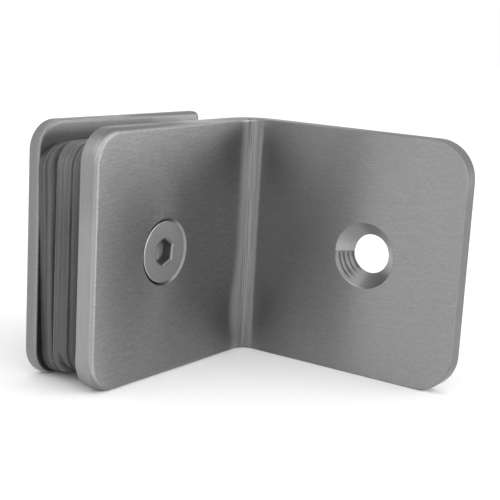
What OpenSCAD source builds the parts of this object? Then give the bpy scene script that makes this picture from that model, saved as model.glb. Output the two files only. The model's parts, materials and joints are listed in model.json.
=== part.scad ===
// Glass-to-wall clamp: a bent plate screwed to a wall, with a rear plate that a
// countersunk screw draws up to hold a glass panel between soft gaskets.
// Frame: +Z up, the wall on the +X side, the clamp screw along Y, and the origin
// at the centre of the base of the closed clamp.

/* [Plates] */
// Height of both legs and of the rear plate
plate_h = 50; // [46:1:60]
// Thickness of the bent plate
plate_t = 3.6; // [3.6:0.1:5]
// Thickness of the rear plate
rear_t = 3.2; // [3.2:0.1:5]
// Length of the glass leg, from its free edge to the wall face
glass_leg = 53; // [50:1:60]
// Length of the wall leg, from its free edge to the far face of the glass leg
wall_leg = 53; // [46:1:60]
// Inside radius of the bend
bend_r = 2.3; // [1:0.1:4]
// Rounding of the plates' edges on the faces away from the glass
edge_r = 1.2; // [0.4:0.1:1.4]
// Corner radius of the glass leg
glass_corner_r = 6.7; // [4:0.1:9]
// Corner radius of the wall leg
wall_corner_r = 7.7; // [4:0.1:9]
// Corner radius of the rear plate at its free edge
rear_corner_r = 5.8; // [4:0.1:9]
// Corner radius of the rear plate beside the wall
rear_wall_corner_r = 1.5; // [1.4:0.1:4]
// Set-back of the rear plate from the free edge of the glass leg
rear_inset = 1.5; // [0.5:0.1:3]
// Gap kept between the rear plate and the wall
wall_gap = 2.5; // [0.5:0.1:4]

/* [Holes] */
// Distance of both holes from the free edge of their leg
hole_edge = 21; // [18:0.5:24]
// Mouth diameter of the countersinks
csk_d = 13.3; // [13:0.1:13.8]
// Diameter of the hole for the wall screw
wall_hole_d = 8; // [7:0.1:9]
// Diameter of the hole for the clamp screw
clamp_hole_d = 6.6; // [6.4:0.1:7]

/* [Gaskets] */
// Thickness of a thin gasket
thin_t = 1.4; // [1:0.1:1.6]
// Thickness of a thick gasket
thick_t = 2; // [1.8:0.1:2.6]
// Gap left for the glass when the clamp is closed
slot_t = 0.8; // [0.6:0.1:1.5]
// How much lower a thin gasket is than the plates
thin_less = 4.5; // [4:0.5:8]
// How much lower a thick gasket is than a thin one
thick_less = 1; // [0:0.5:4]
// Set-back of the gaskets from the rear plate's free edge
gasket_side = 1.5; // [1:0.1:4]
// Set-back of the gaskets from the rear plate's edge beside the wall
gasket_end = 0.5; // [0.3:0.1:4]
// Corner radius of a gasket
gasket_corner_r = 5; // [3:0.5:8]
// Diameter of the hole in a gasket
gasket_hole_d = 16; // [15.5:0.1:17]
// Tilt of each gasket on the sleeve, from the rear plate forwards
gasket_tilt = [3, 2.2, 0, 0, 0.2, 0.5, 0.3];
// Slip of each gasket towards the free edge, from the rear plate forwards
gasket_slip = [0.7, 0.5, 0.15, 0.4, 0.05, 0.1, 0];
// Sag of each gasket below the screw's axis, from the rear plate forwards
gasket_sag = [1.2, 1.2, 1.2, 0.7, 0.7, 1.1, 1.2];

/* [Clamp screw] */
// Thread diameter of the clamp screw
screw_d = 6; // [5.9:0.05:6]
// Length of the clamp screw's point
point_len = 1; // [0.5:0.1:1.5]
// Head diameter of the clamp screw
head_d = 12.4; // [11.5:0.1:12.6]
// Length of the clamp screw with its head
screw_len = 16; // [14:0.5:16]
// Size of the hexagon socket across its flats
hex_af = 5; // [4:0.5:5]
// Depth of the hexagon socket
hex_depth = 2.4; // [1.5:0.1:2.5]
// Turn of the hexagon socket about the screw's axis
hex_turn = 24; // [0:1:59]

/* [Boss and sleeve] */
// Diameter of the threaded boss
boss_d = 11; // [10.5:0.1:11]
// Length of the boss in front of the rear plate
boss_len = 9.5; // [8:0.5:9.5]
// Diameter of the spigot that sits in the rear plate
spigot_d = 9; // [8.6:0.1:9.6]
// Depth of the spigot in the rear plate
spigot_len = 1.5; // [1:0.1:1.6]
// Depth of the rear plate's pocket for the tip of the screw
pocket_depth = 2.2; // [2.2:0.05:2.4]
// Outside diameter of the sleeve that keeps the glass off the boss
sleeve_d = 13; // [12.4:0.1:13]
// Length of the sleeve
sleeve_len = 8; // [6:0.5:8]
// Radial clearance of what turns or slides on another piece
run_clear = 0.05; // [0.02:0.01:0.08]

/* [Hidden] */
$fn = 64;
over = 0.5;                                      // how far a cutter runs past what it cuts

gap = 5 * thin_t + 2 * thick_t + slot_t;         // between the glass leg and the rear plate
depth = wall_leg + gap + rear_t;                 // overall, along Y
wall_x = glass_leg / 2;                          // outer face of the wall leg
inner_x = wall_x - plate_t;                      // inner face of the wall leg
rear_y = depth / 2;                              // outer face of the rear plate
seat_y = rear_y - rear_t;                        // inner face of the rear plate
back_y = seat_y - gap;                           // far face of the glass leg
front_y = back_y - plate_t;                      // near face of the glass leg
free_x = -glass_leg / 2;                         // free edge of the glass leg
free_y = back_y - wall_leg;                      // free edge of the wall leg
mid_z = plate_h / 2;
screw_x = free_x + hole_edge;
wall_hole_y = free_y + hole_edge;
rear_wall_x = wall_x - wall_gap;                 // edge of the rear plate beside the wall
thin_h = plate_h - thin_less;
thick_h = thin_h - thick_less;
gasket_hole_x = hole_edge - rear_inset - gasket_side;
gasket_w = gasket_hole_x + rear_wall_x - screw_x - gasket_end;

head_sink = (csk_d - head_d) / 2 - run_clear;    // depth of the head's face below the leg's face
head_cone = (head_d - screw_d) / 2;              // height of the head's 45 degree cone
rim_break = 0.15;                                // chamfer round the head's face
hex_d = hex_af / cos(30);                        // across the socket's corners
steel = "silver";
rubber = [0.32, 0.32, 0.33];

// ---- Plates with softened edges ----

// Cut through a plate t thick across its full height, with its near edges rounded
module section(t) {
    translate([edge_r, 0]) square([t - edge_r, plate_h]);
    translate([0, edge_r]) square([t, plate_h - 2 * edge_r]);
    for (z = [edge_r, plate_h - edge_r]) translate([edge_r, z]) circle(edge_r);
}

// Cut through a plate's rim, from the middle of a corner of radius r out to the edge
module rim(r, t) {
    square([r - edge_r, t]);
    translate([0, edge_r]) square([r, t - edge_r]);
    intersection() {
        translate([r - edge_r, edge_r]) circle(edge_r);
        square([r, t]);
    }
}

// A quarter of a plate's round corner, lying down and to the outside
module quarter(r, t) rotate([-90, 0, 0]) rotate_extrude(angle = 90) rim(r, t);

// Flat leg from X = 0 to a free end with round corners, its thickness along +Y
module leg(len, r, t) {
    rotate([90, 0, 90]) linear_extrude(len - r) section(t);
    translate([len - r, 0, r]) linear_extrude(plate_h - 2 * r) rim(r, t);
    translate([len - r, 0, r]) quarter(r, t);
    translate([len - r, 0, plate_h - r]) rotate([0, -90, 0]) quarter(r, t);
}

// Countersunk hole for a plate, along +Y from its near face
module countersink(hole_d) rotate([-90, 0, 0]) {
    translate([0, 0, -over]) cylinder(h = (csk_d - hole_d) / 2 + over, d1 = csk_d + 2 * over, d2 = hole_d);
    cylinder(h = plate_t + over, d = hole_d);
}

module angle_bracket() color(steel) difference() {
    union() {
        translate([inner_x - bend_r, front_y, 0]) mirror([1, 0, 0])
            leg(glass_leg - plate_t - bend_r, glass_corner_r, plate_t);
        translate([inner_x - bend_r, front_y - bend_r, 0])
            rotate_extrude(angle = 90) translate([bend_r, 0]) section(plate_t);
        translate([inner_x, front_y - bend_r, 0]) rotate([0, 0, -90])
            leg(wall_leg - plate_t - bend_r, wall_corner_r, plate_t);
    }
    translate([screw_x, front_y, mid_z]) countersink(clamp_hole_d);
    translate([inner_x, wall_hole_y, mid_z]) rotate([0, 0, -90]) countersink(wall_hole_d);
}

// Seat for the boss's spigot, with room behind it for the tip of the screw
module rear_plate() color(steel) difference() {
    translate([0, rear_y, 0]) mirror([0, 1, 0]) {
        leg(rear_wall_x, rear_wall_corner_r, rear_t);
        mirror([1, 0, 0]) leg(-free_x - rear_inset, rear_corner_r, rear_t);
    }
    translate([screw_x, seat_y, mid_z]) rotate([-90, 0, 0]) {
        translate([0, 0, -over]) cylinder(h = spigot_len + over, d = spigot_d);
        cylinder(h = pocket_depth, d = screw_d + 1);
    }
}

// ---- Screw, boss and sleeve, turned about +Z and laid along +Y ----

module on_screw_axis(y) translate([screw_x, y, mid_z]) rotate([-90, 0, 0]) children();

// Half outline of the screw, with its thread left as a plain shank
function screw_outline() =
    let (r = screw_d / 2)
    [[0, 0], [head_d / 2 - 2 * rim_break, 0], [head_d / 2 - rim_break, rim_break], [r, head_cone],
     [r, screw_len - point_len], [r - point_len, screw_len], [0, screw_len]];

module clamp_screw() color(steel) on_screw_axis(front_y + head_sink) difference() {
    rotate_extrude() polygon(screw_outline());
    rotate([0, 0, -hex_turn]) {
        translate([0, 0, -over]) linear_extrude(hex_depth + over) circle(d = hex_d, $fn = 6);
        translate([0, 0, hex_depth]) cylinder(h = 0.8, d1 = hex_af * 0.9, d2 = 1);
    }
    translate([0, 0, -over]) cylinder(h = 0.2 + over, d1 = hex_d + 2 * over, d2 = hex_d - 0.4);
}

// The thread is left as a plain bore that clears the screw's shank
module threaded_boss() color(steel) on_screw_axis(seat_y - boss_len) difference() {
    union() {
        cylinder(h = 0.6, d1 = boss_d - 1.2, d2 = boss_d);
        translate([0, 0, 0.6]) cylinder(h = boss_len - 0.6, d = boss_d);
        translate([0, 0, boss_len]) cylinder(h = spigot_len, d = spigot_d);
    }
    translate([0, 0, -over]) cylinder(h = boss_len + spigot_len + 2 * over, d = screw_d + 2 * run_clear);
    translate([0, 0, -over]) cylinder(h = 0.6 + over, d1 = screw_d + 1.2 + 2 * over, d2 = screw_d);
}

module glass_sleeve() color("white") on_screw_axis(seat_y - sleeve_len) difference() {
    union() {
        cylinder(h = 0.4, d1 = sleeve_d - 0.8, d2 = sleeve_d);
        translate([0, 0, 0.4]) cylinder(h = sleeve_len - 0.4, d = sleeve_d);
    }
    translate([0, 0, -over]) cylinder(h = sleeve_len + 2 * over, d = boss_d + 2 * run_clear);
}

// ---- Gaskets, counted from the rear plate forwards ----

// Rectangle w by h with round corners, from X = 0 and centred in Y
module sheet(w, h, r) {
    translate([r, -h / 2]) square([w - 2 * r, h]);
    translate([0, r - h / 2]) square([w, h - 2 * r]);
    for (x = [r, w - r], y = [r - h / 2, h / 2 - r]) translate([x, y]) circle(r);
}

// Gasket number i, h high and t thick, whose rear face is at y
module gasket(i, y, h, t) color(rubber)
    translate([screw_x - gasket_slip[i], y, mid_z - gasket_sag[i]])
        rotate([90, -gasket_tilt[i], 0]) linear_extrude(t) difference() {
            translate([-gasket_hole_x, 0]) sheet(gasket_w, h, gasket_corner_r);
            circle(d = gasket_hole_d);
        }

module thin_gasket_1() gasket(0, seat_y, thin_h, thin_t);
module thin_gasket_2() gasket(1, seat_y - thin_t, thin_h, thin_t);
module thin_gasket_3() gasket(2, back_y + 3 * thin_t + 2 * thick_t, thin_h, thin_t);
module thick_gasket_1() gasket(3, back_y + 2 * thin_t + 2 * thick_t, thick_h, thick_t);
module thick_gasket_2() gasket(4, back_y + 2 * thin_t + thick_t, thick_h, thick_t);
module thin_gasket_4() gasket(5, back_y + 2 * thin_t, thin_h, thin_t);
module thin_gasket_5() gasket(6, back_y + thin_t, thin_h, thin_t);

angle_bracket();
rear_plate();
threaded_boss();
glass_sleeve();
clamp_screw();
thin_gasket_1();
thin_gasket_2();
thin_gasket_3();
thick_gasket_1();
thick_gasket_2();
thin_gasket_4();
thin_gasket_5();
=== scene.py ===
import json
from math import atan2, cos, degrees, hypot, inf, pi, prod, radians, sin
from random import Random

import bmesh
import bpy
from mathutils import Matrix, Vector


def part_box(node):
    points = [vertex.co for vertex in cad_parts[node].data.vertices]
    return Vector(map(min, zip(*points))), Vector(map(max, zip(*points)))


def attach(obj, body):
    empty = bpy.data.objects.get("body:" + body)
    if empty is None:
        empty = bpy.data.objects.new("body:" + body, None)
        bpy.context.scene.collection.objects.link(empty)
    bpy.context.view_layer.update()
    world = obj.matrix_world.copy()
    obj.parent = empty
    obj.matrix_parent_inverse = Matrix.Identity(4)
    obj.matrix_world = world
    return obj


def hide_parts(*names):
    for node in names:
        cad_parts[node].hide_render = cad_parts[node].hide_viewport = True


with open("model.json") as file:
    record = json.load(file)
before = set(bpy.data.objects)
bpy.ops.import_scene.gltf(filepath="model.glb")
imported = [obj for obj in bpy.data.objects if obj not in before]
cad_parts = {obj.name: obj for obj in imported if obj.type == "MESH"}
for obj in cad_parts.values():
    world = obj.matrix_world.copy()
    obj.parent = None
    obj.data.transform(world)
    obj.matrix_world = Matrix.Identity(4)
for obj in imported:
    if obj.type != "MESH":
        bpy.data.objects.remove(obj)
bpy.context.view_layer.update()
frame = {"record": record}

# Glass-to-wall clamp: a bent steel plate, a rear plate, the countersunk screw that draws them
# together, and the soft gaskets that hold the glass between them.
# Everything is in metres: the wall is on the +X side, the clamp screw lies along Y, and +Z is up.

MM = 0.001
PLATE_T = 3.6 * MM                               # thickness of the bent plate

# ---- Sizes that the frame gives ----

bracket_low, bracket_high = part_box("angle_bracket")
rear_low, rear_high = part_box("rear_plate")
sleeve_low, sleeve_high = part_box("glass_sleeve")
boss_low, boss_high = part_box("threaded_boss")
screw_low, screw_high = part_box("clamp_screw")
wall_hole = next(m for m in frame["record"]["mounts"] if m["name"] == "wall_hole")

rear_t = rear_high.y - rear_low.y
plate_h = bracket_high.z - bracket_low.z
mid_z = (bracket_low.z + bracket_high.z) / 2
screw_x = (sleeve_low.x + sleeve_high.x) / 2
inner_x = bracket_high.x - PLATE_T               # inner face of the wall leg
front_y = bracket_high.y - PLATE_T               # near face of the glass leg
seat_y = rear_low.y                              # inner face of the rear plate
wall_hole_y = wall_hole["pos_m"][1]

# ---- Sizes of the forms ----

BEND_R = 2.9 * MM
EDGE_R = 1.2 * MM                                # softened near edge at the glass leg's free end
BEND_EDGE_SHARE = 0.5                            # part of it where the bend starts
WALL_EDGE_SHARE = 0.2                            # part of it on the wall leg
BACK_EDGE_R = 1.2 * MM                           # softened edges at the back of the rear plate
INNER_EDGE_R = 0.9 * MM                          # edges of the rear plate's inner face
SHARP_R = 0.2 * MM                               # broken edges on the wall and the glass side
GLASS_CORNER_R = 6.7 * MM
WALL_CORNER_R = 7.7 * MM
REAR_CORNER_R = 5.8 * MM
REAR_WALL_CORNER_R = 1.5 * MM
CSK_R = 6.65 * MM                                # mouth of both countersinks
CLAMP_HOLE_R = 3.3 * MM
WALL_HOLE_R = wall_hole["dims"]["r_mm"] * MM
SPIGOT_R = 4.5 * MM
SPIGOT_LEN = 1.5 * MM
POCKET_R = 3.5 * MM
POCKET_DEPTH = 2.2 * MM
THREAD_R = 3.0 * MM
THREAD_DEPTH = 0.54 * MM
PITCH = 1.0 * MM
CREST_FLAT = 1 / 8                               # flats of the thread, as shares of its pitch
ROOT_FLAT = 1 / 4
HEAD_SPREAD = 0.12 * MM                          # how far the head's rim reaches past its plain solid
HEAD_PROUD = 0.2 * MM                            # how far the head stands out of its seat
head_y = screw_low.y - HEAD_PROUD                # face of the head
HEX_AF = 4.7 * MM                                # across the flats of the socket
HEX_DEPTH = 2.4 * MM
HEX_TURN = radians(24)
RUN_CLEAR = 0.05 * MM                            # between the two threads, and the boss and sleeve

ROUND_STEPS = 96                                 # points round a hole or a turned piece
CORNER_STEPS = 14                                # round a plate's corner
RIM_STEPS = 6                                    # over a softened edge
CONE_ROWS = 40                                   # down a countersink
THREAD_ROWS = 12                                 # along each turn of a thread
BEND_STEPS = 36                                  # cuts across the bend
BEND_ROWS = 40                                   # cuts along it

CREASE = 0.024 * MM                              # deepest crease inside the bend
CHATTER = 0.03 * MM                              # depth of the cutter's rings where it shook
FINE_RINGS = 0.0035 * MM                         # and of the fine ones all round
SHAKE_START, SHAKE_END = 180, 268                # degrees round the wall hole between which it shook

# Each gasket's tilt in degrees, its slip to the free edge, its sag and its height in millimetres
GASKETS = {
    "thin_gasket_1": (3.0, 0.7, 1.2, 45.5),
    "thin_gasket_2": (2.2, 0.5, 1.2, 45.5),
    "thin_gasket_3": (0.0, 0.42, 1.2, 45.5),
    "thick_gasket_1": (0.0, 0.4, 0.7, 44.5),
    "thick_gasket_2": (0.2, 0.05, 0.7, 44.5),
    "thin_gasket_4": (0.5, 0.1, 1.1, 45.5),
    "thin_gasket_5": (0.3, 0.0, 1.2, 45.5),
}
GASKET_LEN = 47.0 * MM
GASKET_HOLE_X = 18.0 * MM                        # from its free end to the middle of its hole
GASKET_HOLE_R = 8.0 * MM
GASKET_HOLE_STEPS = 72
GASKET_ROWS = 9                                  # rows of points across the cut edge
GASKET_CORNER_R = 5.0 * MM
GASKET_EASE = 0.02 * MM                          # how far a sheet's corners and draw marks stand back
GASKET_WAVE = 0.035 * MM                         # how far its cut edge waves to each side


# ---- Mesh building ----

def held(value):
    """The value, kept between 0 and 1."""
    return min(max(value, 0), 1)


def add_loop(mesh, points):
    return [mesh.verts.new(p) for p in points]


def bridge(mesh, first, second):
    """Quads between two closed loops that have the same number of points."""
    count = len(first)
    for i in range(count):
        j = (i + 1) % count
        mesh.faces.new((first[i], first[j], second[j], second[i]))


def skin(mesh, loops):
    """Quads from each closed loop to the next."""
    for first, second in zip(loops, loops[1:]):
        bridge(mesh, first, second)


def fill(mesh, loops):
    """A flat face between an outer loop and any number of holes."""
    edges = []
    for loop in loops:
        for i, vert in enumerate(loop):
            edges.append(mesh.edges.get((vert, loop[i - 1])) or mesh.edges.new((vert, loop[i - 1])))
    bmesh.ops.triangle_fill(mesh, use_beauty=True, use_dissolve=False, edges=edges)


def circle(centre, radius, depth):
    angles = [2 * pi * i / ROUND_STEPS for i in range(ROUND_STEPS)]
    return [(centre[0] + radius * cos(a), centre[1] + radius * sin(a), depth) for a in angles]


def rounded_outline(length, height, radii, inset, depth, stations=(), share=None):
    """Rectangle from the origin with round corners, radii[0] at its start and radii[1] at its end.
    Stations are more places along its long sides. Share gives, at each place along it, the part of
    the inset and the depth that is taken there."""
    corners = [
        (length - radii[1], radii[1], radii[1], -pi / 2),
        (length - radii[1], height - radii[1], radii[1], 0),
        (radii[0], height - radii[0], radii[0], pi / 2),
        (radii[0], radii[0], radii[0], pi),
    ]
    points = []
    for number, (x, z, r, start) in enumerate(corners):
        part = share(x) if share else 1
        reach = r - inset * part
        for i in range(CORNER_STEPS + 1):
            a = start + pi / 2 * i / CORNER_STEPS
            points.append((x + reach * cos(a), z + reach * sin(a), depth * part))
        if number % 2:
            for place in sorted(stations, reverse=number == 1):
                part = share(place) if share else 1
                side = height - inset * part if number == 1 else inset * part
                points.append((place, side, depth * part))
    return points


def rim_profile(thick, near, far):
    """(inset, depth) pairs round a plate's softened edges, from its near face to its far one."""
    turns = [pi / 2 * i / RIM_STEPS for i in range(RIM_STEPS + 1)]
    rows = [(near * (1 - sin(a)), near * (1 - cos(a))) for a in turns]
    return rows + [(far * (1 - sin(a)), thick - far * (1 - cos(a))) for a in reversed(turns)]


def plate(length, height, thick, radii, edges, bores, stations=(), share=None):
    """Flat plate with a softened rim, its thickness along +Z from 0. Each bore is a centre, (radius,
    depth) pairs from the near face, and whether it runs through. Share changes the near rim."""
    mesh = bmesh.new()
    rings = []
    for inset, depth in rim_profile(thick, *edges):
        near_share = share if depth < thick / 2 else None
        outline = rounded_outline(length, height, radii, inset, depth, stations, near_share)
        rings.append(add_loop(mesh, outline))
    skin(mesh, rings)
    near_loops, far_loops = [rings[0]], [rings[-1]]
    for centre, profile, through in bores:
        walls = [add_loop(mesh, circle(centre, r, d)) for r, d in profile]
        skin(mesh, walls)
        near_loops.append(walls[0])
        if through:
            far_loops.append(walls[-1])
        else:
            fill(mesh, [walls[-1]])
    fill(mesh, near_loops)
    fill(mesh, far_loops)
    return mesh


def cut_across(mesh, places, within=None):
    """Lines of vertices across a flat plate, so that it can follow a bend. With within, a pair of
    places along the plate, the cuts run along it and stay between them."""
    for place in places:
        faces = mesh.faces[:]
        normal, point = (1, 0, 0), (place, 0, 0)
        if within:
            normal, point = (0, 1, 0), (0, place, 0)
            faces = [f for f in faces if within[0] < f.calc_center_median().x < within[1]]
        edges = {edge for face in faces for edge in face.edges}
        verts = {vert for face in faces for vert in face.verts}
        bmesh.ops.bisect_plane(
            mesh, geom=list(verts) + list(edges) + faces, dist=1e-7, plane_co=point, plane_no=normal,
        )


def on_axis(angle, radius, y):
    """Point at a turn and a radius round the screw's axis."""
    return (screw_x + radius * cos(angle), y, mid_z + radius * sin(angle))


def turned_loop(mesh, radius, y, start=0.0):
    """Loop round the screw's axis. The radius may depend on the angle."""
    angles = [start + 2 * pi * i / ROUND_STEPS for i in range(ROUND_STEPS)]
    return add_loop(mesh, [on_axis(a, radius(a) if callable(radius) else radius, y) for a in angles])


def turned_body(rows, start=0.0, closed=False):
    """Skin over (radius, y) rows round the screw's axis. Closed joins the last row to the first,
    and otherwise both ends are capped."""
    mesh = bmesh.new()
    loops = [turned_loop(mesh, radius, y, start) for radius, y in rows]
    skin(mesh, loops)
    if closed:
        bridge(mesh, loops[-1], loops[0])
    else:
        fill(mesh, [loops[0]])
        fill(mesh, [loops[-1]])
    return mesh


def thread_radius(crest, y, depth=THREAD_DEPTH, most=inf):
    """Radius of a right-hand thread at a place along the axis, as a function of the angle."""
    flank = (1 - CREST_FLAT - ROOT_FLAT) / 2

    def radius(angle):
        turn = (y / PITCH + angle / (2 * pi)) % 1
        slope = held((abs(turn - 0.5) - CREST_FLAT / 2) / flank)
        return min(crest - depth * slope, most)
    return radius


def piece(name, mesh, finish, body, stands_for, sharp=32):
    """A finished piece that rides on its body and stands for a plain solid. Its edges are crisp
    where its faces meet at more than sharp degrees."""
    bmesh.ops.remove_doubles(mesh, verts=mesh.verts, dist=1e-7)
    bmesh.ops.dissolve_degenerate(mesh, edges=mesh.edges, dist=1e-7)
    bmesh.ops.recalc_face_normals(mesh, faces=mesh.faces)
    for face in mesh.faces:
        face.smooth = True
    for edge in mesh.edges:
        edge.smooth = edge.calc_face_angle(pi) < radians(sharp)
    data = bpy.data.meshes.new(name)
    mesh.to_mesh(data)
    mesh.free()
    data.materials.append(finish)
    obj = bpy.data.objects.new(name, data)
    bpy.context.scene.collection.objects.link(obj)
    shading = obj.modifiers.new("even shading", "WEIGHTED_NORMAL")
    shading.keep_sharp = True
    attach(obj, body)
    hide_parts(stands_for)
    return obj


# ---- Shader maths ----

class Value:
    """A node's output, so that shader maths reads as arithmetic."""

    def __init__(self, finish, socket):
        self.finish = finish
        self.socket = socket

    def maths(self, operation, *values):
        return self.finish.node("ShaderNodeMath", {"operation": operation}, dict(enumerate(values)))

    def __add__(self, other):
        return self.maths("ADD", self, other)

    def __radd__(self, other):
        return self.maths("ADD", other, self)

    def __sub__(self, other):
        return self.maths("SUBTRACT", self, other)

    def __rsub__(self, other):
        return self.maths("SUBTRACT", other, self)

    def __mul__(self, other):
        return self.maths("MULTIPLY", self, other)

    def __rmul__(self, other):
        return self.maths("MULTIPLY", other, self)

    def __truediv__(self, other):
        return self.maths("DIVIDE", self, other)

    def __pow__(self, other):
        return self.maths("POWER", self, other)

    def __neg__(self):
        return self.maths("MULTIPLY", self, -1)

    def __abs__(self):
        return self.maths("ABSOLUTE", self)

    def sine(self):
        return self.maths("SINE", self)

    def over(self, low, high):
        """0 below low, 1 above high, and a smooth rise between them."""
        return self.finish.node(
            "ShaderNodeMapRange", {"interpolation_type": "SMOOTHSTEP"},
            {"Value": self, "From Min": low, "From Max": high},
        )

    def under(self, low, high):
        """1 below low, 0 above high, and a smooth fall between them."""
        return 1 - self.over(low, high)


class Finish:
    """A material or a world, and the one way that nodes are added to it."""

    def __init__(self, name, kind="materials"):
        self.data = getattr(bpy.data, kind).new(name)
        self.data.use_nodes = True
        self.tree = self.data.node_tree
        self.tree.nodes.clear()

    def node(self, kind, settings=None, inputs=None, output=0):
        """Add a node of a type, with its settings first and then its sockets."""
        node = self.tree.nodes.new(kind)
        for key, value in (settings or {}).items():
            setattr(node, key, value)
        for key, value in (inputs or {}).items():
            self.plug(node.inputs[key], value)
        return Value(self, node.outputs[output]) if len(node.outputs) else None

    def plug(self, socket, value):
        if isinstance(value, Value):
            self.tree.links.new(value.socket, socket)
        else:
            socket.default_value = value

    def split(self, vector):
        """The x, y and z of a vector."""
        return [self.node("ShaderNodeSeparateXYZ", inputs={"Vector": vector}, output=i) for i in range(3)]

    def place(self):
        """Place on the object at rest."""
        return self.split(self.node("ShaderNodeTexCoord", output="Object"))

    def normal(self):
        """Direction that the surface faces, in the object's own frame."""
        return self.split(self.node("ShaderNodeTexCoord", output="Normal"))

    def vector(self, x=0.0, y=0.0, z=0.0):
        return self.node("ShaderNodeCombineXYZ", inputs={"X": x, "Y": y, "Z": z})

    def noise(self, vector, scale=1.0, detail=2.0, roughness=0.5):
        """Noise from 0 to 1, about 0.5 on average."""
        return self.node(
            "ShaderNodeTexNoise", {"noise_dimensions": "3D"},
            {"Vector": vector, "Scale": scale, "Detail": detail, "Roughness": roughness},
        )

    def grain(self, place, waves, detail=2.0, roughness=0.5):
        """Noise drawn out into grain, with so many waves to the metre along each of three ways."""
        stretched = self.vector(*(at * count for at, count in zip(place, waves)))
        return self.noise(stretched, detail=detail, roughness=roughness)

    def grey(self, value):
        return self.node("ShaderNodeCombineColor", inputs={0: value, 1: value, 2: value})

    def blend(self, amount, first, second):
        """Number that runs from first to second as amount goes from 0 to 1."""
        mix = {"Factor": amount, "A": first, "B": second}
        return self.node("ShaderNodeMix", {"data_type": "FLOAT"}, mix)

    def bump(self, height, strength, distance):
        bump = {"Height": height, "Strength": strength, "Distance": distance}
        return self.node("ShaderNodeBump", inputs=bump)

    def shader(self, **inputs):
        """One surface. The sockets' names are given with _ for each space."""
        sockets = {name.replace("_", " "): value for name, value in inputs.items()}
        return self.node("ShaderNodeBsdfPrincipled", inputs=sockets)

    def surface(self, amount=0.0, other=None, **inputs):
        """The closing surface. With an amount, that much of the other one lies over it."""
        shader = self.shader(**inputs)
        if other:
            shader = self.node("ShaderNodeMixShader", inputs={0: amount, 1: shader, 2: other})
        self.node("ShaderNodeOutputMaterial", inputs={"Surface": shader})
        return self.data


# ---- Finishes ----

STEEL_TONE = 0.30
STEEL_ROUGHNESS = 0.38
STRIP_ROUGHNESS = 0.42                           # of the strip that is dressed after bending
TURNED_TONE = 0.38
TURNED_ROUGHNESS = 0.34
GASKET_TONE = 0.05
GASKET_ROUGHNESS = 0.38
SLEEVE_TONE = 0.72
FLOOR_TONE = 0.95

LONG_GRAIN = (180, 1, 4200)                      # waves to the metre along, through and up the steel
SHORT_GRAIN = (1100, 1, 5200)
UPRIGHT_GRAIN = (5200, 5200, 260)
STRAIN_GRAIN = (2900, 1, 70)
CONE_GRAIN = (5200, 1, 1)                        # out from the middle of the wall hole
CONE_WANDER = (1500, 1, 1)
TURNED_GRAIN = (6000, 6000, 1)                   # out from the screw's axis and along it
DRAW_MARKS = (300, 5200, 45)                     # along x, y and z of a gasket
SMOKY_STREAKS = (120, 2400, 30)
NICKS = (150, 1400, 2600)

BRUSHED_DEPTH = 0.003 * MM
STRAIN_DEPTH = 0.03 * MM
ACROSS_BRUSHING = 0.25                           # part of a turn that spreads a highlight across it
ALONG_BRUSHING = 0.0


def change_tone(*changes):
    """Product of changes of tone. Each is a mask and how much lighter it makes the surface, or how
    much darker where that is below 0."""
    return prod(1 + mask * share for mask, share in changes)


def brushing(f, along, z):
    """Long and short scratches of brushed steel, and the grain in its tone that they make."""
    long_grain = f.grain((along, 0.0, z), LONG_GRAIN)
    short_grain = f.grain((along, 3.3, z), SHORT_GRAIN)
    return long_grain, short_grain, (long_grain - 0.5) * 0.4 + (short_grain - 0.5) * 0.65


def satin_steel(f, face_grain, short_grain, on_face, tone, height, strip_share=0.0, strip=None):
    """Satin steel that is brushed on its faces and has upright grain on its ends. A strip of
    another surface may lie over it."""
    x, y, z = f.place()
    upright = f.grain((x, y, z), UPRIGHT_GRAIN) - 0.5
    cloud = f.noise(f.vector(x, y, z), scale=60, detail=1.0) - 0.5
    grain = face_grain * on_face + upright * 0.3 * (1 - on_face) + cloud * 0.06
    return f.surface(
        strip_share, strip, Base_Color=f.grey(STEEL_TONE * (1 + grain) * tone), Metallic=1.0,
        Roughness=STEEL_ROUGHNESS + (short_grain - 0.5) * 0.1 * on_face + (1 - on_face) * 0.12,
        Anisotropic=1.0, Anisotropic_Rotation=ACROSS_BRUSHING, Normal=f.bump(height, 1.0, 1.0),
    )


def cone_finish(f, x, y, z):
    """Where the wall hole's cone is, the turned grain in it, and its tone: painted shade in the cutter's
    marks and on the side that faces away, and a painted highlight on its lip.
    """
    left, below = y - wall_hole_y, mid_z - z
    radius = (left * left + below * below) ** 0.5
    leftward, downward = left / radius, below / radius
    near_side = x.under(bracket_high.x - 0.5 * MM, bracket_high.x - 0.3 * MM)
    in_cone = radius.under(CSK_R, CSK_R + 0.1 * MM) * x.over(inner_x, inner_x + 0.15 * MM) * near_side
    grain = (f.grain((radius, 0.0, 0.0), CONE_GRAIN) - 0.5) * 0.5

    # Where the cutter shook, with painted shade in its grooves, and a line of painted shade where that part
    # starts
    shaken = downward.over(0.0, 0.06) * downward.under(0.7, 0.97) * leftward.over(0.0, 0.3) * in_cone
    start = abs(downward - 0.015).under(0.0, 0.04) * leftward.over(0.5, 0.8) * in_cone
    run = (CSK_R - radius) / (CSK_R - WALL_HOLE_R)
    wander = f.grain((radius, 0.6, 0.0), CONE_WANDER)
    grooves = (run * 25 + wander * 6).sine().over(-0.2, 0.8)

    # A painted highlight on the lip round the lower left of the mouth, and painted shade on the side that
    # faces away
    lip_highlight = abs(radius - CSK_R).under(0.0, 0.16 * MM) * near_side
    lip_highlight *= downward.over(0.05, 0.3) * leftward.over(-0.2, 0.1)
    shaded_right_side = (-leftward).over(0.3, 0.95) * in_cone
    # The cut cone is a little lighter; the rest of this tone is painted shade and a painted highlight
    tone = change_tone(
        (in_cone, 0.12), (shaken * (0.4 + grooves * 0.6), -0.75), (start, -0.5), (lip_highlight, 0.6),
        (shaded_right_side, -0.3),
    )
    return in_cone, grain, tone


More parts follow.
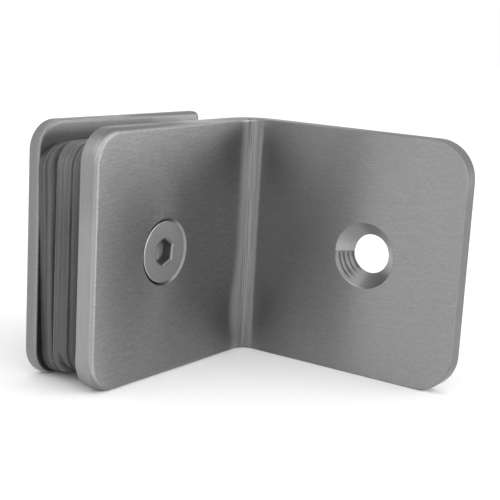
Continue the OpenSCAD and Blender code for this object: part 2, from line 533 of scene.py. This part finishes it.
def bend_finish(f, x, y, z, along, inner_side):
    """Where the bend is, the strained lines in it, and the dressed strip beside it: how much of it
    lies over the brushing, and its surface. Painted shade darkens the bend and its strained lines."""
    in_bend = x.over(inner_x - BEND_R * 0.95, inner_x - BEND_R * 0.7)
    in_bend *= y.over(front_y - BEND_R * 0.8, front_y - BEND_R * 0.4)
    in_bend *= 0.15 + inner_side * 0.85
    strain_and_crease_shade = f.grain((along, 0.0, z), STRAIN_GRAIN)

    # The strip is widest near its foot
    widest = z.over(1 * MM, 8 * MM) * z.under(10 * MM, 22 * MM)
    from_start = x - (inner_x - BEND_R - 2.4 * MM - widest * (1.4 * MM))
    strip_share = from_start.over(0.0, 2.9 * MM) * inner_side
    strip_share *= y.over(front_y - BEND_R * 0.7, front_y - BEND_R * 0.2)
    # The dressed strip is lighter, partly its own finish and partly a painted sheen; painted shade darkens
    # it in the bend and along the strained lines
    strip_tone = 1.22 - in_bend * (0.28 + strain_and_crease_shade.over(0.48, 0.62) * 0.36)
    strip = f.shader(
        Base_Color=f.grey(STEEL_TONE * strip_tone), Metallic=1.0,
        Roughness=STRIP_ROUGHNESS + (strain_and_crease_shade - 0.5) * 0.1,
        Anisotropic=0.9, Anisotropic_Rotation=ALONG_BRUSHING,
    )
    return in_bend, strain_and_crease_shade, strip_share, strip


def bent_plate_steel():
    """Satin steel brushed round the bend, with a cut cone in the wall leg, a strained bend and a
    dressed strip beside it, and painted light and shade in its tone."""
    f = Finish("brushed bent plate")
    x, y, z = f.place()
    nx, ny, _ = f.normal()
    along = x - y
    long_grain, short_grain, grain = brushing(f, along, z)
    glass_end = (-nx).over(0.3, 0.9) * x.under(bracket_low.x, bracket_low.x + 5 * MM)
    wall_end = (-ny).over(0.6, 0.9) * y.under(bracket_low.y, bracket_low.y + 5 * MM)
    inner_side = (-nx - ny).over(-0.1, 0.3)
    in_cone, cone_grain, cone_tone = cone_finish(f, x, y, z)
    in_bend, strain_and_crease_shade, strip_share, strip = bend_finish(f, x, y, z, along, inner_side)

    # Fainter grain on the wall leg, turned grain in the cone, upright grain on both ends
    grain = f.blend(in_cone, grain * (1 - nx * nx * 0.3), cone_grain)
    on_face = abs(nx * nx - ny * ny) * (1 - glass_end) * (1 - wall_end)
    on_face = f.blend(in_cone, on_face, 1.0)

    # Both legs are darker beside the bend, above and below the middle
    from_bend = abs(along - (inner_x - front_y))
    shade = from_bend.over(2.5 * MM, 5 * MM) * from_bend.under(6 * MM, 16 * MM)
    shade *= abs(z - mid_z).over(6 * MM, 18 * MM) * inner_side

    # A lighter patch above the screw
    lighter_patch = abs(x - screw_x).under(1 * MM, 6 * MM) * (-ny).over(0.8, 0.95)
    lighter_patch *= z.over(mid_z + 1 * MM, mid_z + 8 * MM) * z.under(mid_z + 10 * MM, mid_z + 20 * MM)

    # Each leg's end has its own tone; painted light lifts both near the top, and painted shade dims a band
    # below the glass leg's top
    wall_end_top_light = z.over(plate_h - 12 * MM, plate_h - 8 * MM)
    glass_end_shade_band = z.over(plate_h - 20 * MM, plate_h - 11 * MM) * z.under(plate_h - 7 * MM, plate_h - 3 * MM)
    glass_end_top_light = z.over(plate_h - 5 * MM, plate_h - 2 * MM)
    # Painted shade darkens the inside of the bend and both legs beside it; painted light and shade run up
    # the legs' ends
    tone = cone_tone * change_tone(
        (in_bend, -0.45), (shade, -0.18), (lighter_patch, 0.15),
        (wall_end, wall_end_top_light * 0.18 - 0.14), (glass_end, 0.38 - glass_end_shade_band * 0.2 + glass_end_top_light * 0.45),
    )
    height = long_grain * on_face ** 2 * BRUSHED_DEPTH + strain_and_crease_shade * in_bend * STRAIN_DEPTH
    return satin_steel(f, grain, short_grain, on_face, tone, height, strip_share, strip)


def rear_plate_steel():
    """Satin steel brushed outside, and darker and speckled on its inner face, with painted shade behind the
    gaskets.
    """
    f = Finish("brushed back plate")
    x, y, z = f.place()
    nx, ny, _ = f.normal()
    long_grain, short_grain, grain = brushing(f, x, z)
    speckle = f.noise(f.vector(x, y, z), scale=4800, detail=3.0, roughness=0.7) - 0.5
    inside = (-ny).over(0.6, 0.95)
    shade_behind_gasket = z.under(mid_z + 21.5 * MM, mid_z + 24.6 * MM)
    # Painted shade deepens the inner face behind the gaskets
    tone = change_tone(
        (inside, shade_behind_gasket * -0.5 - 0.1 - speckle * 0.8), ((-nx).over(0.6, 0.9), 0.02),
    )
    grain *= 1 - inside * 0.6
    return satin_steel(f, grain, short_grain, abs(ny), tone, long_grain * BRUSHED_DEPTH)


def turned_steel(name, axis_x, axis_z, head_y):
    """Steel turned on a lathe about an axis along Y, with a dull socket in the head at head_y. Painted
    shade darkens the socket and its chamfer.
    """
    f = Finish(name)
    x, y, z = f.place()
    away = ((x - axis_x) ** 2 + (z - axis_z) ** 2) ** 0.5
    depth = y - head_y
    rings = f.grain((away, y, 0.0), TURNED_GRAIN)
    dull_shaded_socket = away.under(2.85 * MM, 3.05 * MM) * depth.over(0.26 * MM, 0.6 * MM)
    dull_shaded_socket *= depth.under(3.3 * MM, 3.5 * MM)
    shaded_chamfer = away.under(2.75 * MM, 2.95 * MM) * depth.under(0.2 * MM, 0.26 * MM)
    # Painted shade in the socket and on its chamfer
    tone = TURNED_TONE * change_tone((rings - 0.5, 0.2), (dull_shaded_socket, -0.45), (shaded_chamfer, -0.4))
    return f.surface(
        Base_Color=f.grey(tone), Metallic=1.0,
        Roughness=TURNED_ROUGHNESS + (rings - 0.5) * 0.1 + dull_shaded_socket * 0.2,
        Normal=f.bump(rings, 0.15, 0.03 * MM),
    )


def soft_gasket(name):
    """Smoky flexible plastic, a little clear, with draw marks up its cut edge."""
    f = Finish(name)
    x, y, z = f.place()
    _, ny, _ = f.normal()
    marks = f.grain((x, y, z), DRAW_MARKS, detail=3.0, roughness=0.6) - 0.5
    streaks = f.grain((x, y, z), SMOKY_STREAKS, detail=3.0) - 0.5
    nicks = f.grain((x, y, z), NICKS, detail=1.0).over(0.68, 0.8)

    # Darker towards the glass leg and against the rear plate, lighter on the broad faces, and lighter
    # upwards with painted light
    front = y.under(seat_y - 9.6 * MM, seat_y - 6.6 * MM)
    rear = y.over(seat_y - 3.2 * MM, seat_y - 2.8 * MM)
    back = y.over(seat_y - 1.6 * MM, seat_y - 1.2 * MM)
    painted_light_above = z.over(mid_z + 4 * MM, mid_z + 20 * MM) * (1 - rear * 0.9)
    layer = change_tone(
        (front, -0.76), (back, -0.4), (rear, 0.3), (painted_light_above, 1.0), (abs(ny).over(0.7, 0.95), 1.4),
    )
    tone = GASKET_TONE * (layer * (1 + marks * 1.2 + streaks * 2.2) + nicks)
    return f.surface(
        Base_Color=f.grey(tone), Roughness=GASKET_ROUGHNESS + marks * 0.25, IOR=1.5,
        Subsurface_Weight=0.35, Subsurface_Radius=(1, 1, 1), Subsurface_Scale=1.5 * MM,
        Normal=f.bump(marks, 0.3, 0.03 * MM),
    )


def moulded_sleeve(name):
    """Off-white moulded plastic."""
    f = Finish(name)
    mottle = f.noise(f.vector(*f.place()), scale=900)
    return f.surface(
        Base_Color=f.grey(SLEEVE_TONE + (mottle - 0.5) * 0.06), Roughness=0.5,
        Normal=f.bump(mottle, 0.1, 0.05 * MM),
    )


def pale_floor(name):
    """Plain floor with a hardly visible mottle."""
    f = Finish(name)
    mottle = f.noise(f.vector(*f.place()), scale=300)
    return f.surface(Base_Color=f.grey(FLOOR_TONE + (mottle - 0.5) * 0.01), Roughness=0.8)


# ---- Plates ----

def countersink(hole_r, thick, steep):
    """(radius, depth) pairs of a countersunk hole from its mouth inwards. The cone's depth is steep
    times its width."""
    broken = 0.12 * MM
    cone = CSK_R - hole_r
    rows = [(CSK_R + broken, 0), (CSK_R + broken * 0.3, broken * 0.25)]
    for i in range(CONE_ROWS + 1):
        rows.append((CSK_R - cone * i / CONE_ROWS, broken + cone * steep * i / CONE_ROWS))
    return rows + [(hole_r, thick - broken), (hole_r + broken, thick)]


def tool_marks(s, z, hole_r):
    """Depth of the cutter's rings at a place in a countersink, measured from its middle. They are
    faint all round and deep in one part, where the cutter shook."""
    radius = hypot(s, z)
    run = (CSK_R - radius) / (CSK_R - hole_r)
    if not 0 < run < 1:
        return 0
    angle = degrees(atan2(z, s)) % 360
    shake = held((angle - SHAKE_START) / 4) * held((SHAKE_END - angle) / 40)
    deep = sin(run * 21) + 0.6 * sin(run * 37 + 1) + 0.3 * sin(run * 71 + angle / 30)
    fine = sin(run * 110) + sin(run * 71 + 2)
    return (deep * CHATTER * shake + fine * FINE_RINGS) * sin(run * pi) ** 0.4


def bent_plate():
    """The bent plate, made flat and folded: s runs along it from the glass leg's free edge."""
    glass_flat = inner_x - BEND_R - bracket_low.x
    wall_flat = front_y - BEND_R - bracket_low.y
    bend_len = (BEND_R + PLATE_T / 2) * pi / 2
    bend_end = glass_flat + bend_len
    clamp_bore = ((screw_x - bracket_low.x, mid_z), countersink(CLAMP_HOLE_R, PLATE_T, 1), True)
    wall_hole_s = bend_end + front_y - BEND_R - wall_hole_y
    wall_bore = ((wall_hole_s, mid_z), countersink(WALL_HOLE_R, PLATE_T, 1.15), True)

    def edge_share(place):
        if place < glass_flat:
            return 1
        return BEND_EDGE_SHARE if place < bend_end else WALL_EDGE_SHARE

    mesh = plate(
        bend_end + wall_flat, plate_h, PLATE_T, (GLASS_CORNER_R, WALL_CORNER_R), (EDGE_R, SHARP_R),
        [clamp_bore, wall_bore], (glass_flat, bend_end), edge_share,
    )
    cut_across(mesh, [glass_flat + bend_len * i / BEND_STEPS for i in range(BEND_STEPS + 1)])
    cut_across(mesh, [plate_h * (i + 0.5) / BEND_ROWS for i in range(BEND_ROWS)], (glass_flat, bend_end))
    creases = [rng.uniform(-1, 1) for _ in range(BEND_STEPS + 1)]
    sway = [rng.uniform(0, 2 * pi) for _ in range(BEND_STEPS + 1)]
    for vert in mesh.verts:
        s, z, depth = vert.co
        along = held((s - glass_flat) / bend_len)
        turn = along * pi / 2
        station = round(along * BEND_STEPS)
        crease = creases[station] * (0.75 + 0.25 * sin(z * 260 + sway[station]))
        crease *= CREASE * sin(along * pi) ** 3 * (depth < EDGE_R / 4)
        if 0 < depth < 0.9 * PLATE_T:
            depth += tool_marks(s - wall_hole_s, z - mid_z, WALL_HOLE_R)
        radius = BEND_R + depth + crease
        past_bend = max(s - bend_end, 0)
        before_bend = min(s - glass_flat, 0)
        vert.co = (
            inner_x - BEND_R + before_bend + radius * sin(turn),
            front_y - BEND_R - past_bend + radius * cos(turn),
            z,
        )
    return piece("bent_plate", mesh, bent_plate_steel(), "bracket", "angle_bracket")


def back_plate():
    """The rear plate, its inner face first, with the seat for the boss."""
    eased = 0.1 * MM
    seat = [
        (SPIGOT_R + eased, 0), (SPIGOT_R, eased), (SPIGOT_R, SPIGOT_LEN),
        (POCKET_R, SPIGOT_LEN), (POCKET_R, POCKET_DEPTH),
    ]
    mesh = plate(
        rear_high.x - rear_low.x, plate_h, rear_t, (REAR_CORNER_R, REAR_WALL_CORNER_R),
        (INNER_EDGE_R, BACK_EDGE_R), [((screw_x - rear_low.x, mid_z), seat, False)],
    )
    for vert in mesh.verts:
        s, z, depth = vert.co
        vert.co = (rear_low.x + s, rear_low.y + depth, z)
    return piece("back_plate", mesh, rear_plate_steel(), "jaw", "rear_plate")


# ---- Screw, boss and sleeve ----

def thread_places(start, end):
    """Places along a thread, with the number of turns from its start to each."""
    count = round(abs(end - start) / PITCH * THREAD_ROWS)
    return [(i / THREAD_ROWS, start + (end - start) * i / count) for i in range(count + 1)]


def hexagon(half_width):
    """Radius of a hexagon round the screw's axis, as a function of the angle."""
    def radius(angle):
        side = (angle - HEX_TURN) % (pi / 3)
        return half_width / cos(side - pi / 6)
    return radius


def clamp_screw():
    """Countersunk screw with a hexagon socket and a cut thread, its head at the near end."""
    half = HEX_AF / 2
    rim = 0.12 * MM
    head_r = (screw_high.x - screw_low.x) / 2 + HEAD_SPREAD
    floor_y = head_y + HEX_DEPTH
    neck_y = head_y + head_r - THREAD_R
    rows = [
        (0.5 * MM, floor_y + 0.75 * MM), (half * 0.9, floor_y + 0.05 * MM),
        (hexagon(half - 0.03 * MM), floor_y), (hexagon(half), floor_y - 0.05 * MM),
        (hexagon(half), head_y + 0.3 * MM), (hexagon(half + 0.03 * MM), head_y + 0.24 * MM),
        (hexagon(half + 0.22 * MM), head_y + 0.03 * MM), (hexagon(half + 0.26 * MM), head_y),
    ]
    rings = 12
    first_r, last_r = 3.2 * MM, head_r - 1.5 * rim
    for i in range(rings + 1):
        rows.append((first_r + (last_r - first_r) * i / rings, head_y + (i % 2) * 0.002 * MM))
    rows += [
        (head_r - rim * 0.6, head_y + rim * 0.25), (head_r - rim * 0.1, head_y + rim * 0.8),
        (head_r, head_y + rim * 1.2), (THREAD_R + 0.1 * MM, neck_y), (THREAD_R, neck_y + 0.2 * MM),
    ]
    for turns, y in thread_places(neck_y + 0.7 * MM, screw_high.y - 0.05 * MM):
        tip = max((y - screw_high.y + PITCH) / PITCH, 0) * THREAD_DEPTH * 1.4
        rows.append((thread_radius(THREAD_R, y, THREAD_DEPTH * min(turns, 1), THREAD_R - tip), y))
    rows.append((THREAD_R - 0.95 * MM, screw_high.y))
    mesh = turned_body(rows, HEX_TURN)
    return piece("countersunk_screw", mesh, turned, "screw", "clamp_screw", sharp=24)


def boss():
    """Turned boss with a cut thread inside, its spigot in the rear plate."""
    radius = (boss_high.x - boss_low.x) / 2
    front, back = boss_low.y, boss_high.y
    eased = 0.1 * MM
    rows = [
        (THREAD_R + 0.55 * MM, front), (radius - 0.65 * MM, front), (radius - 0.55 * MM, front + 0.02 * MM),
        (radius - 0.05 * MM, front + 0.55 * MM), (radius, front + 0.65 * MM),
        (radius, seat_y - eased), (radius - eased, seat_y),
        (SPIGOT_R, seat_y), (SPIGOT_R, back - eased), (SPIGOT_R - eased, back),
        (THREAD_R + 0.4 * MM, back),
    ]
    for _, y in thread_places(back - 0.3 * MM, front + 0.5 * MM):
        rows.append((thread_radius(THREAD_R + RUN_CLEAR, y), y))
    mesh = turned_body(rows, closed=True)
    return piece("boss", mesh, turned, "jaw", "threaded_boss", sharp=24)


def sleeve():
    """Plastic tube on the boss that the glass and the gaskets hang on."""
    outer = (sleeve_high.x - sleeve_low.x) / 2
    inner = (boss_high.x - boss_low.x) / 2 + RUN_CLEAR
    front, back = sleeve_low.y, sleeve_high.y
    eased = 0.1 * MM
    mesh = turned_body([
        (inner, front + 0.2 * MM), (inner + 0.2 * MM, front), (outer - 0.4 * MM, front),
        (outer - 0.12 * MM, front + 0.12 * MM), (outer, front + 0.4 * MM), (outer, back - eased),
        (outer - eased, back), (inner + eased, back), (inner, back - eased),
    ], closed=True)
    return piece("spacer_sleeve", mesh, moulded_sleeve("moulded sleeve"), "jaw",
                 "glass_sleeve")


# ---- Gaskets ----

def gasket_outline(height):
    """Points round a gasket's outline with the way out at each, from the end of its lower edge."""
    half = height / 2
    left, right = -GASKET_HOLE_X, GASKET_LEN - GASKET_HOLE_X
    r = GASKET_CORNER_R
    corners = [(right - r, -half + r, -90), (right - r, half - r, 0), (left + r, half - r, 90),
               (left + r, -half + r, 180)]
    arc = 12
    step = 0.7 * MM
    points = []
    for k, (cx, cz, start) in enumerate(corners):
        for i in range(arc + 1):
            a = radians(start + 90 * i / arc)
            points.append(((cx + r * cos(a), cz + r * sin(a)), (cos(a), sin(a))))
        a = radians(start + 90)
        next_x, next_z, _ = corners[(k + 1) % 4]
        out = (cos(a), sin(a))
        x0, z0 = cx + r * out[0], cz + r * out[1]
        x1, z1 = next_x + r * out[0], next_z + r * out[1]
        count = int(max(abs(x1 - x0), abs(z1 - z0)) / step)
        for i in range(1, count):
            points.append(((x0 + (x1 - x0) * i / count, z0 + (z1 - z0) * i / count), out))
    return points


def gasket(node, body):
    """Flexible sheet with a cut edge that waves a little, hung on the sleeve by its hole."""
    tilt, slip, sag, height = GASKETS[node]
    low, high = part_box(node)
    thick = high.y - low.y
    outline = gasket_outline(height * MM)
    marks = [rng.uniform(-1, 1) for _ in range(GASKET_ROWS)]
    phases = [rng.uniform(0, 2 * pi) for _ in range(4)]
    turn = radians(tilt)
    centre_x, centre_z = screw_x - slip * MM, mid_z - sag * MM

    def at(x, z, y):
        return (centre_x + x * cos(turn) - z * sin(turn), y, centre_z + x * sin(turn) + z * cos(turn))

    mesh = bmesh.new()
    edge_loops = []
    for j, mark in enumerate(marks):
        across = j / (GASKET_ROWS - 1)
        y = low.y + thick * across
        inset = GASKET_EASE * (abs(2 * across - 1) ** 6 + (1 + mark) * (0 < across < 1))
        loop = []
        for (x, z), (out_x, out_z) in outline:
            wave = sin(z * 420 + x * 300 + phases[0]) * sin(z * 170 + phases[1])
            wave += 0.6 * sin(z * 1100 + x * 900 + phases[2] + across * 2)
            back = inset + GASKET_WAVE * (1 + wave / 1.6)
            loop.append(at(x - out_x * back, z - out_z * back, y))
        edge_loops.append(add_loop(mesh, loop))
    hole_loops = []
    for across in (0, 0.12, 0.5, 0.88, 1):
        radius = GASKET_HOLE_R + 0.08 * MM * (across in (0, 1))
        y = low.y + thick * across
        angles = [2 * pi * i / GASKET_HOLE_STEPS for i in range(GASKET_HOLE_STEPS)]
        hole_loops.append(add_loop(mesh, [at(radius * cos(a), radius * sin(a), y) for a in angles]))
    skin(mesh, edge_loops)
    skin(mesh, hole_loops)
    fill(mesh, [edge_loops[0], hole_loops[0]])
    fill(mesh, [edge_loops[-1], hole_loops[-1]])
    return piece(node + "_sheet", mesh, rubber, body, node, sharp=40)


# ---- The clamp ----

rng = Random(7)
turned = turned_steel("turned steel", screw_x, mid_z, head_y)
rubber = soft_gasket("smoky gasket")

bent_plate()
back_plate()
clamp_screw()
boss()
sleeve()
for node in GASKETS:
    gasket(node, "jaw" if node in ("thin_gasket_1", "thin_gasket_2") else "bracket")

# ---- Camera ----

CAMERA_PLACE = (-0.1800, -0.12376, 0.07155)
CAMERA_HEADING = radians(55.67)                  # from +Y towards +X
CAMERA_DOWN = radians(11.47)
CAMERA_ROLL = radians(3.27)
CAMERA_LENS = 83.75                              # in millimetres, on a sensor 36 wide

camera_data = bpy.data.cameras.new("camera")
camera_data.sensor_width = 36
camera_data.lens = CAMERA_LENS
camera_data.clip_start = 0.01
camera = bpy.data.objects.new("camera", camera_data)
camera.matrix_world = (
    Matrix.Translation(CAMERA_PLACE)
    @ Matrix.Rotation(-CAMERA_HEADING, 4, "Z")
    @ Matrix.Rotation(pi / 2 - CAMERA_DOWN, 4, "X")
    @ Matrix.Rotation(CAMERA_ROLL, 4, "Z")
)
bpy.context.scene.collection.objects.link(camera)
bpy.context.scene.camera = camera

# ---- Floor and light ----

FLOOR_R = 2.0
FLOOR_SIDES = 64
AMBIENT = 0.86
PANELS = [                                       # heading from +X to +Y, height in degrees, strength
    (120, 8, 0.15), (150, 8, 0.6), (240, 8, 1.25), (300, 8, 3.3), (202.5, 38, 0.3), (247.5, 38, 0.75),
    (180, 68, 0.5),
]
PANEL_REACH = radians(38)                        # a panel fades out this far from its middle


def add_floor():
    """A wide round floor that the clamp stands on."""
    mesh = bmesh.new()
    turns = [2 * pi * i / FLOOR_SIDES for i in range(FLOOR_SIDES)]
    fill(mesh, [add_loop(mesh, [(FLOOR_R * cos(a), FLOOR_R * sin(a), 0) for a in turns])])
    data = bpy.data.meshes.new("floor")
    mesh.to_mesh(data)
    mesh.free()
    data.materials.append(pale_floor("pale floor"))
    floor = bpy.data.objects.new("floor", data)
    bpy.context.scene.collection.objects.link(floor)


def soft_studio(name):
    """Even light from all round with soft panels in it, and white past the floor's edge."""
    f = Finish(name, "worlds")
    sky = f.node("ShaderNodeTexCoord", output="Generated")
    light = AMBIENT
    for heading, height, strength in PANELS:
        a, e = radians(heading), radians(height)
        middle = (cos(e) * cos(a), cos(e) * sin(a), sin(e))
        product = {"operation": "DOT_PRODUCT"}
        nearness = f.node("ShaderNodeVectorMath", product, {0: sky, 1: middle}, output="Value")
        light = nearness.over(cos(PANEL_REACH), 1) * strength + light
    seen_directly = f.node("ShaderNodeLightPath", output="Is Camera Ray")
    shown = f.grey(f.blend(seen_directly, light, 1.0))
    background = f.node("ShaderNodeBackground", inputs={"Color": shown})
    f.node("ShaderNodeOutputWorld", inputs={"Surface": background})
    return f.data


add_floor()
bpy.context.scene.world = soft_studio("studio")
bpy.context.scene.view_settings.view_transform = "Standard"
